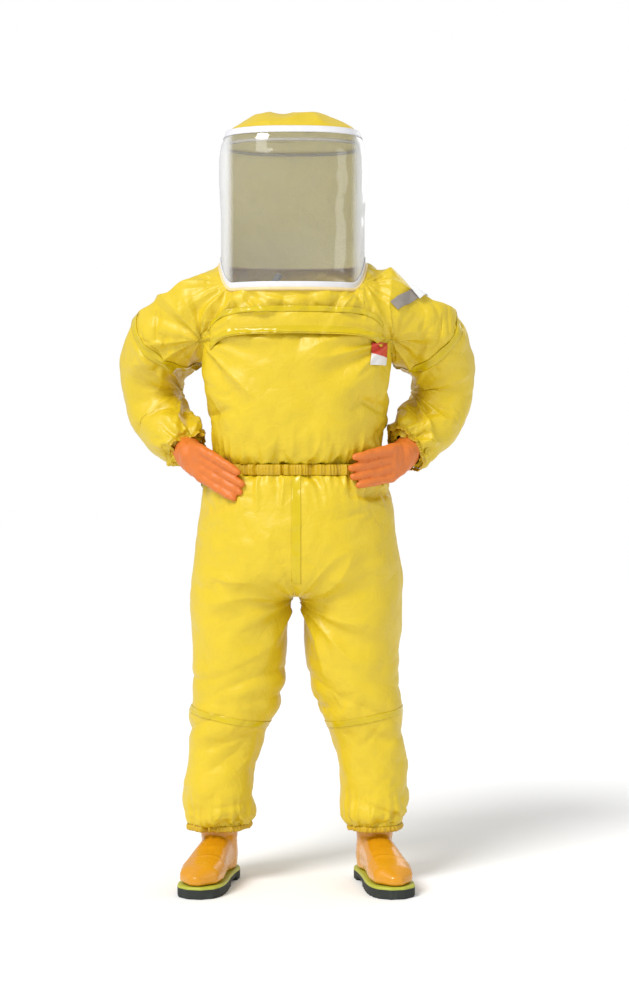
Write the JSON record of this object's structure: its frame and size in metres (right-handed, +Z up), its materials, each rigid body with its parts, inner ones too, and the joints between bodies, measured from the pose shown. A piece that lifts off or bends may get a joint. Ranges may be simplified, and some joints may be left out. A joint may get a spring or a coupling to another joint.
{
  "type": "chemical protective suit",
  "caption": "Hooded, inflated one-piece suit with wrap-round visor, rubber gloves and boots; chest zip under a storm flap.",
  "frame": {"origin": "on the floor, at the centre of the suit's bounding box", "axes": "+Z up, the front of the suit faces -Y, the wearer's left is +X"},
  "size_m": [0.8158, 0.4157, 1.738],
  "materials": {
    "suit_fabric": "coated, soft sheen",
    "seam_tape": "heat-sealed tape, satin",
    "elastic": "gathered",
    "visor_sheet": "clear flexible sheet, glossy",
    "edge_binding": "welded edge, satin",
    "hoop": "satin",
    "zip_metal": "satin",
    "zip_tape": "woven",
    "label_cloth": "woven, red band",
    "grey_strip": "woven, reflective",
    "clear_tag": "translucent",
    "glove_rubber": "satin, creased",
    "boot_rubber": "semi-gloss",
    "sole_rubber": "matte",
    "insole_felt": "felt",
    "inlet_plastic": "satin",
    "collar_plastic": "satin",
    "hose_rubber": "satin",
    "valve_plastic": "satin",
    "valve_cover_plastic": "satin",
    "valve_rubber": "matte"
  },
  "bodies": {
    "torso": {"chest_yoke": "suit_fabric", "torso_front": "suit_fabric", "torso_back": "suit_fabric", "hood_rear_wall": "suit_fabric", "hood_crown": "suit_fabric", "visor": "visor_sheet", "visor_binding": "edge_binding", "hood_hoop": "hoop", "zip_chain": "zip_metal", "zip_tape_upper": "zip_tape", "zip_tape_lower": "zip_tape", "flap_seam_tape": "seam_tape", "chest_label": "label_cloth", "trouser_left": "suit_fabric", "trouser_right": "suit_fabric", "centre_seam_tape_front": "seam_tape", "centre_seam_tape_back": "seam_tape", "waist_elastic": "elastic", "inlet_stem": "inlet_plastic", "inlet_nut": "inlet_plastic", "air_hose": "hose_rubber", "valve_seat_left": "valve_plastic", "valve_seat_right": "valve_plastic", "valve_cover_left": "valve_cover_plastic", "valve_cover_right": "valve_cover_plastic"},
    "upper_arm_left": {"upper_sleeve_left": "suit_fabric", "sleeve_seam_tape_left": "seam_tape", "shoulder_strip": "grey_strip", "strip_tag": "clear_tag"},
    "upper_arm_right": {"upper_sleeve_right": "suit_fabric", "sleeve_seam_tape_right": "seam_tape"},
    "storm_flap": {"storm_flap": "seam_tape"},
    "zip_slider": {"zip_slider": "zip_metal", "zip_pull_tab": "zip_metal"},
    "inlet_collar": {"inlet_collar": "collar_plastic"},
    "forearm_left": {"lower_sleeve_left": "suit_fabric", "wrist_elastic_left": "elastic", "glove_left": "glove_rubber"},
    "thigh_left": {"thigh_left": "suit_fabric"},
    "shin_left": {"shin_left": "suit_fabric", "knee_seam_tape_left": "seam_tape", "ankle_elastic_left": "elastic", "boot_upper_left": "boot_rubber", "boot_insole_left": "insole_felt", "boot_sole_left": "sole_rubber"},
    "valve_disc_left": {"valve_disc_left": "valve_rubber"},
    "forearm_right": {"lower_sleeve_right": "suit_fabric", "wrist_elastic_right": "elastic", "glove_right": "glove_rubber"},
    "thigh_right": {"thigh_right": "suit_fabric"},
    "shin_right": {"shin_right": "suit_fabric", "knee_seam_tape_right": "seam_tape", "ankle_elastic_right": "elastic", "boot_upper_right": "boot_rubber", "boot_insole_right": "insole_felt", "boot_sole_right": "sole_rubber"},
    "valve_disc_right": {"valve_disc_right": "valve_rubber"}
  },
  "joints": [
    {"name": "shoulder_left", "type": "hinge", "parent": "torso", "child": "upper_arm_left", "pos_m": [0.21, 0.005, 1.37631], "axis": [0, -1, 0], "range_deg": [0, 60]},
    {"name": "elbow_left", "type": "hinge", "parent": "upper_arm_left", "child": "forearm_left", "pos_m": [0.417, 0.005, 1.127], "axis": [0, -1, 0], "range_deg": [0, 45]},
    {"name": "hip_left", "type": "hinge", "parent": "torso", "child": "thigh_left", "pos_m": [0.122, -0.115, 0.6], "axis": [-1, 0, 0], "range_deg": [0, 60]},
    {"name": "knee_left", "type": "hinge", "parent": "thigh_left", "child": "shin_left", "pos_m": [0.122, 0.11, 0.405], "axis": [1, 0, 0], "range_deg": [0, 75]},
    {"name": "exhaust_left", "type": "slide", "parent": "torso", "child": "valve_disc_left", "axis": [0, 1, 0], "range_m": [0, 0.0025], "stiffness_N_per_m": 60},
    {"name": "shoulder_right", "type": "hinge", "parent": "torso", "child": "upper_arm_right", "pos_m": [-0.21, 0.005, 1.37631], "axis": [0, 1, 0], "range_deg": [0, 60]},
    {"name": "elbow_right", "type": "hinge", "parent": "upper_arm_right", "child": "forearm_right", "pos_m": [-0.417, 0.005, 1.127], "axis": [0, 1, 0], "range_deg": [0, 45]},
    {"name": "hip_right", "type": "hinge", "parent": "torso", "child": "thigh_right", "pos_m": [-0.122, -0.115, 0.6], "axis": [-1, 0, 0], "range_deg": [0, 60]},
    {"name": "knee_right", "type": "hinge", "parent": "thigh_right", "child": "shin_right", "pos_m": [-0.122, 0.11, 0.405], "axis": [1, 0, 0], "range_deg": [0, 75]},
    {"name": "exhaust_right", "type": "slide", "parent": "torso", "child": "valve_disc_right", "axis": [0, 1, 0], "range_m": [0, 0.0025], "stiffness_N_per_m": 60},
    {"name": "flap_lift", "type": "hinge", "parent": "torso", "child": "storm_flap", "pos_m": [0, -0.16653, 1.2785], "axis": [-1, 0, 0], "range_deg": [0, 70]},
    {"name": "zip_travel", "type": "hinge", "parent": "torso", "child": "zip_slider", "pos_m": [0, 0.2421, 1.254], "axis": [0, 0, -1], "range_deg": [0, 35]},
    {"name": "collar_release", "type": "slide", "parent": "torso", "child": "inlet_collar", "axis": [1, 0, 0], "range_m": [0, 0.003], "stiffness_N_per_m": 300}
  ]
}
